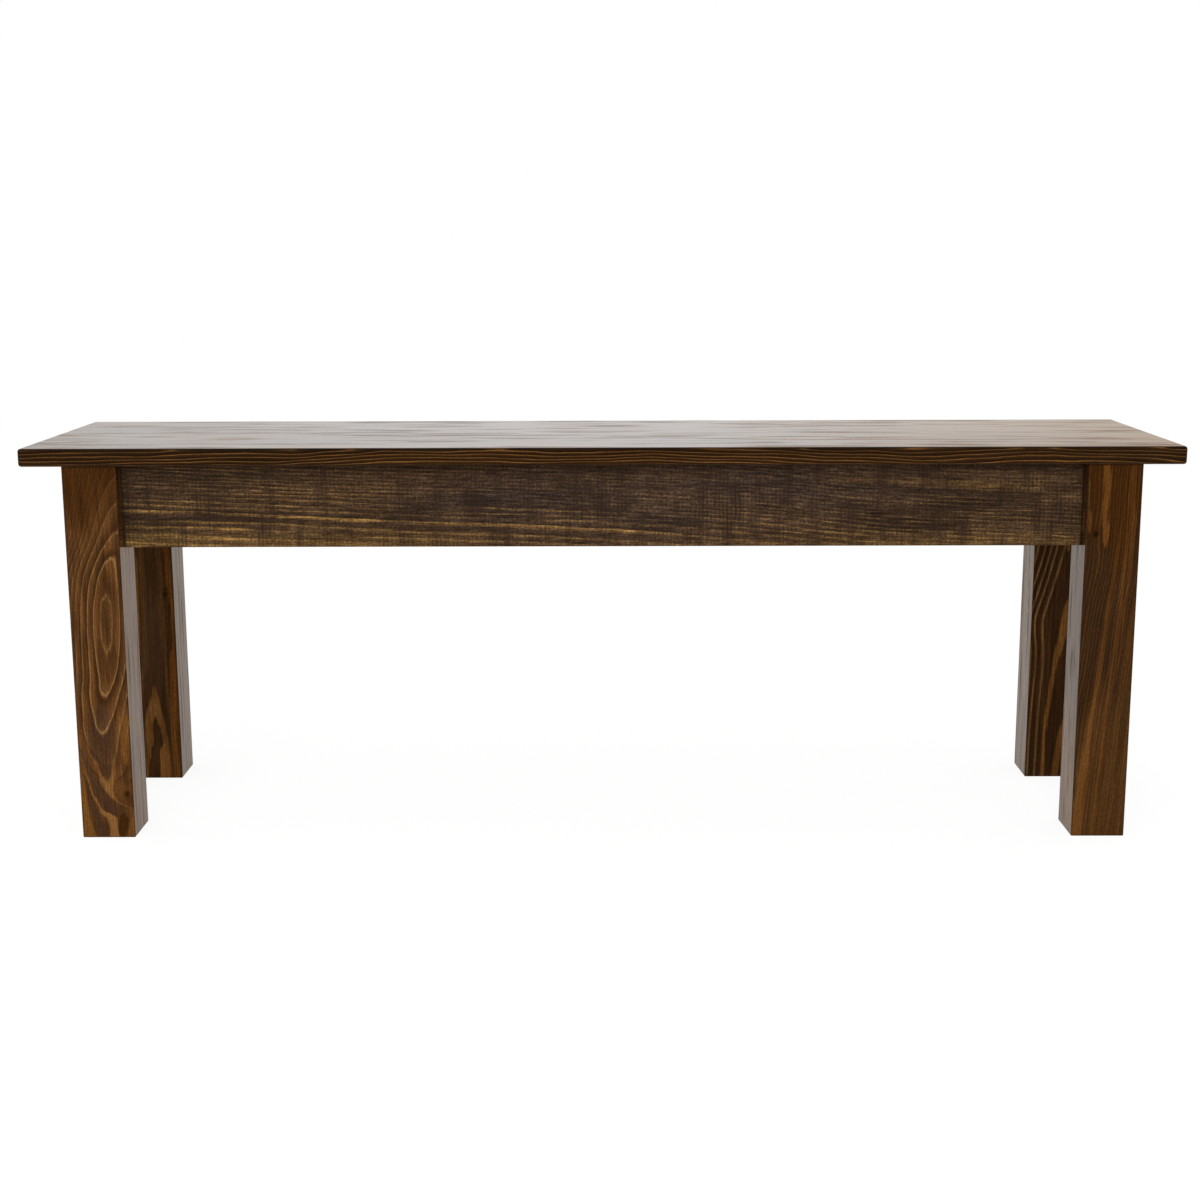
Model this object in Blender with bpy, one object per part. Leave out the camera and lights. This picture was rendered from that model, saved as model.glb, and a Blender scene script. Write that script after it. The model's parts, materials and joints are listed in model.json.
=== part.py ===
"""Harvest bench: a plank seat on four square legs that four aprons and a cross rail tie together.

Every joint is drawn up from the inside by screws in slanted pockets, so no fastener shows on an outer face.
Units are metres. +X runs along the bench, -Y is its front, +Z is up, and the origin lies on the floor under
the middle of the seat.
"""

import math

import bmesh
import bpy
from mathutils import Vector

# Seat plank
SEAT_LENGTH = 1.2192
SEAT_DEPTH = 0.2921
SEAT_THICKNESS = 0.01905
SEAT_HEIGHT = 0.42545
SEAT_ROUNDING = 0.0032

# Legs, and how far the seat stands out over their outer faces
LEG_SIDE = 0.05715
LEG_EASING = 0.0012
END_OVERHANG = 0.0433
EDGE_OVERHANG = 0.006

# Aprons, set back from the outer faces of the legs
APRON_HEIGHT = 0.0889
APRON_THICKNESS = 0.01905
APRON_SETBACK = 0.01905
APRON_EASING = 0.0008

# Cross rail under the middle of the seat
RAIL_HEIGHT = 0.0635
RAIL_THICKNESS = 0.01905

# Washer-head wood screws with a square drive
SHANK_DIAMETER = 0.0036
POINT_LENGTH = 0.006
FLANGE_DIAMETER = 0.0085
FLANGE_THICKNESS = 0.0011
DOME_DIAMETER = 0.0057
DOME_HEIGHT = 0.0015
DRIVE_SIDE = 0.0026
DRIVE_DEPTH = 0.0015
LEG_BITE = 0.019
BOARD_BITE = 0.0122

# Slanted pockets: the shoulder that a screw head seats on lies this far back from the joint
POCKET_SLANT = math.radians(15)
POCKET_SHOULDER = 0.0127

# Screw places
APRON_SCREW_INSET = 0.0222
RAIL_SCREW_INSET = 0.016
SEAT_SCREWS_PER_LONG_APRON = 4

# Fits
JOINT_GAP = 0.0003
SCREW_CLEARANCE = 0.0003
HEAD_CLEARANCE = 0.0004

# Sides of the polygons that stand for circles, and steps in the seat's rounded edge
ROUND_SIDES = 12
ROUNDING_STEPS = 3

# Places that follow from the sizes above
FRAME_X = SEAT_LENGTH / 2 - END_OVERHANG
FRAME_Y = SEAT_DEPTH / 2 - EDGE_OVERHANG
FRAME_TOP = SEAT_HEIGHT - SEAT_THICKNESS - JOINT_GAP
LEG_X = FRAME_X - LEG_SIDE / 2
LEG_Y = FRAME_Y - LEG_SIDE / 2
APRON_X = FRAME_X - APRON_SETBACK - APRON_THICKNESS / 2
APRON_Y = FRAME_Y - APRON_SETBACK - APRON_THICKNESS / 2
APRON_Z = FRAME_TOP - APRON_HEIGHT / 2
LONG_APRON_REACH = LEG_X - LEG_SIDE / 2 - JOINT_GAP
END_APRON_REACH = LEG_Y - LEG_SIDE / 2 - JOINT_GAP
RAIL_REACH = APRON_Y - APRON_THICKNESS / 2 - JOINT_GAP
RAIL_Z = FRAME_TOP - RAIL_HEIGHT / 2

# A polygon's flats lie closer to its axis than its corners, so round holes are opened by this factor
FLAT_TO_CORNER = 1 / math.cos(math.pi / ROUND_SIDES)
POCKET_RADIUS = (FLANGE_DIAMETER / 2 + HEAD_CLEARANCE) * FLAT_TO_CORNER
PILOT_RADIUS = (SHANK_DIAMETER / 2 + SCREW_CLEARANCE) * FLAT_TO_CORNER

RIGHT = Vector((1, 0, 0))
REAR = Vector((0, 1, 0))
UP = Vector((0, 0, 1))


def clear_scene():
    for thing in list(bpy.data.objects):
        bpy.data.objects.remove(thing)


def add_finish(name, colour, roughness, metallic=0.0):
    """A plain material with one colour, one roughness and one metallic value."""
    finish = bpy.data.materials.new(name)
    finish.use_nodes = True
    shader = finish.node_tree.nodes["Principled BSDF"]
    shader.inputs["Base Color"].default_value = (*colour, 1.0)
    shader.inputs["Roughness"].default_value = roughness
    shader.inputs["Metallic"].default_value = metallic
    return finish


def finish_mesh(name, shape, finish):
    """Turn a bmesh into a mesh with one finish, smooth where its faces meet gently."""
    mesh = bpy.data.meshes.new(name)
    shape.to_mesh(mesh)
    shape.free()
    mesh.materials.append(finish)
    mesh.shade_smooth()
    mesh.set_sharp_from_angle(angle=math.radians(35))
    return mesh


def add_part(name, mesh, place, bench):
    part = bpy.data.objects.new(name, mesh)
    part.location = place
    part.parent = bench
    bpy.context.scene.collection.objects.link(part)
    return part


def add_board(name, size, place, finish, bench, easing, eased, steps=1):
    """A board whose edges picked by eased(middle of the edge) are rounded or chamfered by easing.

    Its cuts collection holds the screw pockets and pilot holes that are bored into it.
    """
    shape = bmesh.new()
    bmesh.ops.create_cube(shape, size=1.0)
    bmesh.ops.scale(shape, vec=size, verts=shape.verts)
    edges = [edge for edge in shape.edges if eased((edge.verts[0].co + edge.verts[1].co) / 2)]
    bmesh.ops.bevel(
        shape,
        geom=edges,
        offset=easing,
        offset_type="OFFSET",
        affect="EDGES",
        segments=steps,
        profile=0.5,
        material=-1,
    )
    board = add_part(name, finish_mesh(name, shape, finish), place, bench)
    cuts = bpy.data.collections.new(name + "_cuts")
    bpy.context.scene.collection.children.link(cuts)
    bore = board.modifiers.new("screw_holes", "BOOLEAN")
    bore.operation = "DIFFERENCE"
    bore.operand_type = "COLLECTION"
    bore.collection = cuts
    return board


def spin_profile(shape, profile):
    """Turn a chain of (radius, height) points once round the Z axis."""
    chain = [shape.verts.new((radius, 0.0, height)) for radius, height in profile]
    links = [shape.edges.new(pair) for pair in zip(chain, chain[1:])]
    bmesh.ops.spin(
        shape,
        geom=chain + links,
        cent=(0, 0, 0),
        axis=(0, 0, 1),
        angle=math.tau,
        steps=ROUND_SIDES,
        use_merge=True,
    )
    bmesh.ops.remove_doubles(shape, verts=shape.verts, dist=1e-6)


def screw_mesh(name, bite, finish):
    """A screw along +Z, its head's bearing face at height 0 and its point at the end of its bite."""
    tip = POCKET_SHOULDER + bite
    head_top = -FLANGE_THICKNESS - DOME_HEIGHT
    shape = bmesh.new()
    spin_profile(
        shape,
        [
            (DOME_DIAMETER / 2, head_top),
            (DOME_DIAMETER / 2, -FLANGE_THICKNESS),
            (FLANGE_DIAMETER / 2, -FLANGE_THICKNESS),
            (FLANGE_DIAMETER / 2, 0.0),
            (SHANK_DIAMETER / 2, 0.0),
            (SHANK_DIAMETER / 2, tip - POINT_LENGTH),
            (0.0, tip),
        ],
    )
    head_rim = [edge for edge in shape.edges if edge.is_boundary]
    corner_radius = DRIVE_SIDE / math.sqrt(2)
    drive = bmesh.ops.create_circle(shape, segments=4, radius=corner_radius, cap_ends=False)["verts"]
    bmesh.ops.translate(shape, verts=drive, vec=(0, 0, head_top))
    drive_rim = list({edge for corner in drive for edge in corner.link_edges})
    walls = bmesh.ops.extrude_edge_only(shape, edges=drive_rim)["geom"]
    drive_floor = [item for item in walls if isinstance(item, bmesh.types.BMVert)]
    bmesh.ops.translate(shape, verts=drive_floor, vec=(0, 0, DRIVE_DEPTH))
    shape.faces.new(drive_floor_loop(drive_floor))
    bmesh.ops.bridge_loops(shape, edges=head_rim + drive_rim)
    bmesh.ops.recalc_face_normals(shape, faces=shape.faces)
    return finish_mesh(name, shape, finish)


def drive_floor_loop(corners):
    """The four corners of the drive's floor in order round the axis."""
    return sorted(corners, key=lambda corner: math.atan2(corner.co.y, corner.co.x))


def pocket_mesh(name, bite, board_thickness):
    """The bit's path along +Z: a wide bore back from the shoulder at height 0, and a pilot past the screw's point."""
    reach = (board_thickness + 2 * POCKET_RADIUS) / math.sin(POCKET_SLANT)
    depth = POCKET_SHOULDER + bite + SCREW_CLEARANCE
    shape = bmesh.new()
    spin_profile(
        shape,
        [
            (0.0, -reach),
            (POCKET_RADIUS, -reach),
            (POCKET_RADIUS, 0.0),
            (PILOT_RADIUS, 0.0),
            (PILOT_RADIUS, depth),
            (0.0, depth),
        ],
    )
    bmesh.ops.recalc_face_normals(shape, faces=shape.faces)
    mesh = bpy.data.meshes.new(name)
    shape.to_mesh(mesh)
    shape.free()
    return mesh


def add_pocket_screw(name, kind, joint_point, toward, outward, hosts, bench):
    """A slanted pocket and its screw.

    joint_point is where the screw crosses the joint, halfway through the pocketed board. The screw leans from
    the board's inner face outward, and is driven toward the board it draws up. hosts are the boards it passes.
    """
    screw, pocket = kind
    driven = toward * math.cos(POCKET_SLANT) + outward * math.sin(POCKET_SLANT)
    shoulder = joint_point - driven * POCKET_SHOULDER
    turn = driven.to_track_quat("Z", "Y").to_euler()
    part = add_part(name, screw, shoulder - driven * SCREW_CLEARANCE, bench)
    part.rotation_euler = turn
    cutter = bpy.data.objects.new(name + "_pocket", pocket)
    cutter.location = shoulder
    cutter.rotation_euler = turn
    cutter.parent = bench
    cutter.hide_render = True
    cutter.display_type = "WIRE"
    for host in hosts:
        host.modifiers["screw_holes"].collection.objects.link(cutter)


def add_legs(finish, bench):
    """Four legs by corner, with their long and bottom edges eased."""
    size = (LEG_SIDE, LEG_SIDE, FRAME_TOP)
    legs = {}
    for y_name, y_sign in (("front", -1), ("rear", 1)):
        for x_name, x_sign in (("left", -1), ("right", 1)):
            place = (x_sign * LEG_X, y_sign * LEG_Y, FRAME_TOP / 2)
            legs[y_name, x_name] = add_board(
                f"leg_{y_name}_{x_name}",
                size,
                place,
                finish,
                bench,
                LEG_EASING,
                lambda middle: middle.z < FRAME_TOP / 4,
            )
    return legs


def add_aprons(finish, bench):
    """The two long aprons and the two end aprons, with their lower edges eased."""

    def lower(middle):
        return middle.z < 0 and max(abs(middle.x), abs(middle.y)) < APRON_THICKNESS

    long_size = (2 * LONG_APRON_REACH, APRON_THICKNESS, APRON_HEIGHT)
    end_size = (APRON_THICKNESS, 2 * END_APRON_REACH, APRON_HEIGHT)
    layout = (
        ("front", long_size, (0, -APRON_Y, APRON_Z)),
        ("rear", long_size, (0, APRON_Y, APRON_Z)),
        ("left", end_size, (-APRON_X, 0, APRON_Z)),
        ("right", end_size, (APRON_X, 0, APRON_Z)),
    )
    return {
        side: add_board(f"{side}_apron", size, place, finish, bench, APRON_EASING, lower)
        for side, size, place in layout
    }


def add_cross_rail(finish, bench):
    def lower(middle):
        return middle.z < 0 and abs(middle.y) < RAIL_THICKNESS

    size = (RAIL_THICKNESS, 2 * RAIL_REACH, RAIL_HEIGHT)
    return add_board("cross_rail", size, (0, 0, RAIL_Z), finish, bench, APRON_EASING, lower)


def add_seat(finish, bench):
    size = (SEAT_LENGTH, SEAT_DEPTH, SEAT_THICKNESS)
    place = (0, 0, SEAT_HEIGHT - SEAT_THICKNESS / 2)
    return add_board(
        "seat_board", size, place, finish, bench, SEAT_ROUNDING, lambda middle: True, ROUNDING_STEPS
    )


def heights(board_z, board_height, inset):
    """The two heights of a pair of screws at a board's end."""
    return (
        ("upper", board_z + board_height / 2 - inset),
        ("lower", board_z - board_height / 2 + inset),
    )


def screw_aprons_to_legs(kind, aprons, legs, bench):
    for height_name, z in heights(APRON_Z, APRON_HEIGHT, APRON_SCREW_INSET):
        for y_name, y_sign in (("front", -1), ("rear", 1)):
            for x_name, x_sign in (("left", -1), ("right", 1)):
                leg = legs[y_name, x_name]
                add_pocket_screw(
                    f"{y_name}_apron_screw_{x_name}_{height_name}",
                    kind,
                    Vector((x_sign * LONG_APRON_REACH, y_sign * APRON_Y, z)),
                    RIGHT * x_sign,
                    REAR * y_sign,
                    (aprons[y_name], leg),
                    bench,
                )
                add_pocket_screw(
                    f"{x_name}_apron_screw_{y_name}_{height_name}",
                    kind,
                    Vector((x_sign * APRON_X, y_sign * END_APRON_REACH, z)),
                    REAR * y_sign,
                    RIGHT * x_sign,
                    (aprons[x_name], leg),
                    bench,
                )


def screw_rail_to_aprons(kind, rail, aprons, bench):
    for height_name, z in heights(RAIL_Z, RAIL_HEIGHT, RAIL_SCREW_INSET):
        for y_name, y_sign in (("front", -1), ("rear", 1)):
            add_pocket_screw(
                f"cross_rail_screw_{y_name}_{height_name}",
                kind,
                Vector((0, y_sign * RAIL_REACH, z)),
                REAR * y_sign,
                -RIGHT,
                (rail, aprons[y_name]),
                bench,
            )


def screw_seat_down(kind, aprons, seat, bench):
    spacing = 2 * LONG_APRON_REACH / SEAT_SCREWS_PER_LONG_APRON
    for y_name, y_sign in (("front", -1), ("rear", 1)):
        for count in range(SEAT_SCREWS_PER_LONG_APRON):
            x = -LONG_APRON_REACH + (count + 0.5) * spacing
            add_pocket_screw(
                f"seat_screw_{y_name}_{count + 1}",
                kind,
                Vector((x, y_sign * APRON_Y, FRAME_TOP)),
                UP,
                REAR * y_sign,
                (aprons[y_name], seat),
                bench,
            )
    for x_name, x_sign in (("left", -1), ("right", 1)):
        add_pocket_screw(
            f"seat_screw_{x_name}",
            kind,
            Vector((x_sign * APRON_X, 0, FRAME_TOP)),
            UP,
            RIGHT * x_sign,
            (aprons[x_name], seat),
            bench,
        )


def main():
    clear_scene()
    seat_finish = add_finish("lacquered_seat_pine", (0.085, 0.048, 0.028), 0.22)
    leg_finish = add_finish("lacquered_leg_pine", (0.095, 0.043, 0.018), 0.3)
    apron_finish = add_finish("rough_sawn_apron_pine", (0.06, 0.035, 0.018), 0.7)
    rail_finish = add_finish("stained_rail_pine", (0.07, 0.04, 0.02), 0.6)
    screw_finish = add_finish("zinc_plated_steel", (0.62, 0.6, 0.55), 0.35, 1.0)

    bench = bpy.data.objects.new("harvest_bench", None)
    bpy.context.scene.collection.objects.link(bench)

    legs = add_legs(leg_finish, bench)
    aprons = add_aprons(apron_finish, bench)
    rail = add_cross_rail(rail_finish, bench)
    seat = add_seat(seat_finish, bench)

    leg_kind = (
        screw_mesh("leg_screw", LEG_BITE, screw_finish),
        pocket_mesh("leg_screw_pocket", LEG_BITE, APRON_THICKNESS),
    )
    seat_kind = (
        screw_mesh("seat_screw", BOARD_BITE, screw_finish),
        pocket_mesh("seat_screw_pocket", BOARD_BITE, APRON_THICKNESS),
    )
    rail_kind = (
        seat_kind[0],
        pocket_mesh("rail_screw_pocket", BOARD_BITE, RAIL_THICKNESS),
    )
    screw_aprons_to_legs(leg_kind, aprons, legs, bench)
    screw_rail_to_aprons(rail_kind, rail, aprons, bench)
    screw_seat_down(seat_kind, aprons, seat, bench)


main()
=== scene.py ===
import json
import math
from collections import namedtuple

import bmesh
import bpy
from mathutils import Matrix, Vector, noise

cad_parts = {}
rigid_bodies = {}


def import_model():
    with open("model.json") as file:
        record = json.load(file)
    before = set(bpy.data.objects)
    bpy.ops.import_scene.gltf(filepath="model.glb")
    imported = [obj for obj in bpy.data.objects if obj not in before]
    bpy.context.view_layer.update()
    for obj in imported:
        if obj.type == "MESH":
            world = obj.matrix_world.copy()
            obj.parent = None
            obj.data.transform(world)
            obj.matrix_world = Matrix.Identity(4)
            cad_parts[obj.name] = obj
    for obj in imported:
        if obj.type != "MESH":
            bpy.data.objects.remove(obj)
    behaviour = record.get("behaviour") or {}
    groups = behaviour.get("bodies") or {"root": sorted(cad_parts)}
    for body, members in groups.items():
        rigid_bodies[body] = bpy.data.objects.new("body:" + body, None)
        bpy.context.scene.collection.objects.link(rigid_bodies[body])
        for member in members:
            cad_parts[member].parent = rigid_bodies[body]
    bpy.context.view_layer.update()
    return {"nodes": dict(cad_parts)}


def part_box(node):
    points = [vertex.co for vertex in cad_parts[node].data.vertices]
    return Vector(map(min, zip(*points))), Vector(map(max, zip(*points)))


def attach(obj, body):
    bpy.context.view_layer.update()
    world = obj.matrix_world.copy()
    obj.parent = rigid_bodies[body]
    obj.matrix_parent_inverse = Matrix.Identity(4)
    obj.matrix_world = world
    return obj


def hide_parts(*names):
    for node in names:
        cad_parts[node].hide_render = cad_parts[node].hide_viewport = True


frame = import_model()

bl_info = {
    "name": "Harvest bench",
    "version": (1, 0, 0),
    "blender": (4, 5, 0),
    "location": "3D View > Sidebar > Bench",
    "description": "Lacquered pine seat and legs, rough-sawn aprons and pocket screws on the bench's frame",
    "category": "Object",
}

SCREWS = sorted(node for node in frame["nodes"] if "_screw_" in node)
LEGS = sorted(node for node in frame["nodes"] if node.startswith("leg_"))
APRONS = sorted(node for node in frame["nodes"] if node.endswith("_apron"))
MM = 1000.0
WHITE = (1.0, 1.0, 1.0, 1.0)
SHARP_ANGLE = math.radians(35)
BOARD_EASING_STEPS = 3

# Points this near in metres, or alike to these digits, count as one, and an edge runs along an axis when
# this share of it does
NEAR = 1e-6
NEAR_DIGITS = 6
ALIGNED = 0.99

# Screws, as they sit in their slanted pockets: the head's height and the room round it, in metres
HEAD_HEIGHT = 0.0026
HEAD_SEAT_GAP = 0.0003
POCKET_RADIUS = 0.0048
PILOT_RADIUS = 0.0021
PILOT_END_GAP = 0.0003
POCKET_REACH = 0.12
POCKET_SIDES = 24

# The saw's marks: how far they wander along a board, the patches in which they wander, deepen and swell, as
# (length, height, step in the noise), and the step from board to board. Lengths are in millimetres.
SAW_WANDER = 0.9
WANDER_PATCH = (45, 30, 0)
DEPTH_PATCH = (38, 26, 31)
SWELL_PATCH = (17, 9, 57)
BOARD_STEP = 9.1

# A saw mark's usual depth, as a share of the deepest, and how far it varies, the share of a wave that stays
# flat between two marks, and the marks' share of the relief, which is swell for the rest
SAW_USUAL = 0.7
SAW_VARIES = 0.8
SAW_FLAT = 0.1
SAW_SHARE = 0.75

# The camera's sensor, in millimetres, and the soft lamp's place, target and size, in metres
SENSOR = 36.0
LAMP_PLACE = (-0.4, -3.2, 1.3)
LAMP_TARGET = (0.0, 0.0, 0.2)
LAMP_SIZE = (2.4, 1.6)

# The white sweep that the lacquer mirrors: how far it reaches, as the sideways part of a direction, and
# where on that stretch the left wall ends, the white starts and ends, and the right wall starts
SWEEP_REACH = 0.4
SWEEP_STOPS = (0.05, 0.42, 0.55, 0.95)

# Strength of the floor's glow at which it and the shaded floor together come out white
FLOOR_WHITE = 1.11

# Zinc plating: the width of its dull patches in millimetres, and its roughness outside and inside them
ZINC_PATCH = 1.6
ZINC_ROUGHNESS = (0.25, 0.5)

# How light a growth ring is, as (place from its first wood to its last, lightness)
FINE_LINES = ((0.0, 0.2), (0.08, 0.0), (0.5, 0.06), (0.78, 0.22), (0.88, 1.0), (0.94, 0.9), (1.0, 0.2))
BROAD_BANDS = ((0.0, 0.25), (0.1, 0.03), (0.42, 0.0), (0.62, 0.55), (0.86, 1.0), (0.95, 0.75), (1.0, 0.25))
THIN_LINES = (
    (0.0, 0.08), (0.06, 0.0), (0.6, 0.04), (0.82, 0.15), (0.89, 1.0), (0.925, 0.95), (0.96, 0.15),
    (1.0, 0.08),
)
WIDE_LINES = ((0.0, 0.25), (0.1, 0.0), (0.55, 0.05), (0.74, 0.5), (0.84, 1.0), (0.94, 0.95), (1.0, 0.25))

# How warm the soft wood in a ring is, where in the ring its line lies, and how strong the faintest line is
SOFT_WOOD = ((0.0, 0.4), (0.06, 0.15), (0.35, 0.55), (0.7, 1.0), (0.94, 1.0), (1.0, 0.4))
LINE_PLACE = 0.9
FAINTEST_YEAR = 0.25

# Each noise on a board has its own seed: the figure's seed and one of these
SWAY_SEED = 0
TEAR_SEED = 20
PATCH_SEED = 40
FIBRE_SEED = 60
EDGE_SEED = 80
STREAK_SEED = 90
BLOT_SEED = 100
WAVE_SEED = 120
SUNK_SEED = 140
FLECK_SEED = 160
SEED_STRIDE = (7.3, 3.1, 5.7)

# The stretch of a noise over which it goes from its least effect to its most
TONE_SPAN = (0.3, 0.7)
TEAR_SPAN = (0.4, 0.6)
PATCH_SPAN = (0.36, 0.66)
SUNK_SPAN = (0.46, 0.7)
BLOT_SPAN = (0.46, 0.74)

# How far a streak shifts across a board for each millimetre of depth, and (width, length, amount) of its
# waves
STREAK_LEAN = 0.3
STREAK_SWAY = ((7, 45, 2.0), (1.6, 30, 1.3))

# Where the saw tore the ring lines up: (width, length) of the tears in millimetres, how ragged they are,
# and how strong the lines are between them
TEARS = ((2.6, 60.0, 3.0, 1.0), (9.0, 140.0, 2.0, 1.4))

# Marks, in their half widths: where one starts to fade and has gone, and how far round it the rings are
# lifted
MARK_CORE = 0.2
MARK_END = 1.1
LIFT_REACH = 3.0

# Painted sheen: a broad face turns light between two depths under it, in millimetres, and by this share
# at the least
FACE_SKIN = (0.3, 0.05)
FACE_LEAST = 0.3

# Stain on the edges, partly painted shade where a leg or apron meets the seat: (width, length) of its ragged
# line in millimetres, and where it is full and has ended, as shares of its reach
EDGE_RAG = (6.0, 24.0)
EDGE_FULL = 0.4
EDGE_END = 1.3

# End grain: how far its look reaches round the board's edge, as a share of the reach of the stain there,
# how much darker it is, and how matt the finish is that sank into it
END_SHARE = 0.8
END_STAIN = 0.8
END_MATT = 0.8

# Stain in the saw's marks, and in upright blots of (width, length) in millimetres
GROOVE_STAIN = 0.45
BLOT_STAIN = 0.6
BLOT_SIZE = (45.0, 12.0)

# The length of a wave under the finish, in widths of it, and the fibres' share of the relief
WAVE_LENGTH = 30
FIBRE_RELIEF = 0.6

# A board's figure, in millimetres. axes name the board's across, depth and along directions. heart lists
# points (along, across, depth) of the tree's heart: along from the board's low end, across from its middle
# and depth from its low face. sway lists (width, length, amount) of the waves in the rings. warmth is the
# least and most that the soft wood turns orange, in patches of (width, length) patch, and gold how far ring
# lines turn light. fibre is (amount, width, length) of the difference between fibres. ring is the usual
# width of a growth ring, and rings lists (radius, strength) of lines that stand out. fade and rise list
# (place, factor) of the lines' strength along and across the board. face is how far the broad faces turn
# light, torn how far the saw broke the lines up, and lean how far the fibres shift across the board for
# each millimetre along it.
Figure = namedtuple(
    "Figure",
    "axes heart seed sway warmth gold fibre ring rings lines patch fade rise face torn lean marks streaks",
    defaults=(3.0, (), FINE_LINES, (22, 140), (), (), 0.0, 0.0, 0.0, (), ()),
)

# A knot or the swirl round one: the name of its colour, its place, its half width, its length as a multiple
# of that, how strongly it shows, and how many millimetres it lifts the rings round it
Mark = namedtuple("Mark", "kind across along radius stretch strength lift")

# A streak of light or dark wood: the name of its colour, how far its edges blur, how strongly it shows, and
# points (along, across, half width) of its path. There is none where the half width is far below 0.
Streak = namedtuple("Streak", "kind blur strength path")

# A finish over the stain: its roughness where it lies well and where it sank into open grain, (width,
# length) of such streaks in millimetres, its IOR, how far the grain stands out, in metres, the height in
# metres and width in millimetres of the faint waves under it, (reach, strength) of the stain and painted
# shade on the edges, and (amount, width, length) of the flecks that open pores or broken fibres leave
Finish = namedtuple("Finish", "gloss matt sunk ior relief waves wave_width gather fleck")

# A thin film of lacquer on open grain: satin to glossy, and a near mirror only at a low angle
SEAT_LACQUER = Finish(
    gloss=0.08, matt=0.34, sunk=(12, 110), ior=1.32, relief=0.000008, waves=0.0003, wave_width=20.0,
    gather=(3.5, 0.85), fleck=(0.22, 1.3, 4.5),
)

# The same lacquer on narrow stock, which shines less
LEG_LACQUER = Finish(
    gloss=0.1, matt=0.45, sunk=(6, 110), ior=1.28, relief=0.000008, waves=0.0002, wave_width=9.0,
    gather=(2.0, 0.6), fleck=(0.24, 1.3, 3.0),
)

# Torn fibres scatter the light, so a sawn face is matt from every side
SAWN_FACE = Finish(
    gloss=0.65, matt=0.85, sunk=(6, 30), ior=1.25, relief=0.00025, waves=0.0002, wave_width=9.0,
    gather=(2.0, 0.45), fleck=(0.48, 1.8, 2.2),
)

# Smooth wood with stain and no lacquer is dull
BARE_STAIN = Finish(
    gloss=0.5, matt=0.7, sunk=(6, 60), ior=1.25, relief=0.00012, waves=0.0001, wave_width=9.0,
    gather=(2.0, 0.45), fleck=(0.3, 1.8, 4.0),
)

# What boards of one kind have in common
LEG_SWAY = ((30, 160, 1.0), (9, 50, 0.35), (3, 20, 0.12))
APRON_SWAY = ((26, 240, 3.0), (8, 90, 1.2), (3, 26, 0.5))
REAR_LEG = {"axes": "XYZ", "sway": LEG_SWAY, "patch": (9, 110), "fibre": (0.4, 1.7, 60)}
HIDDEN_APRON = {
    "sway": APRON_SWAY, "warmth": (0.0, 0.6), "gold": 0.85, "fibre": (0.4, 1.6, 18), "torn": 0.65,
}

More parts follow.
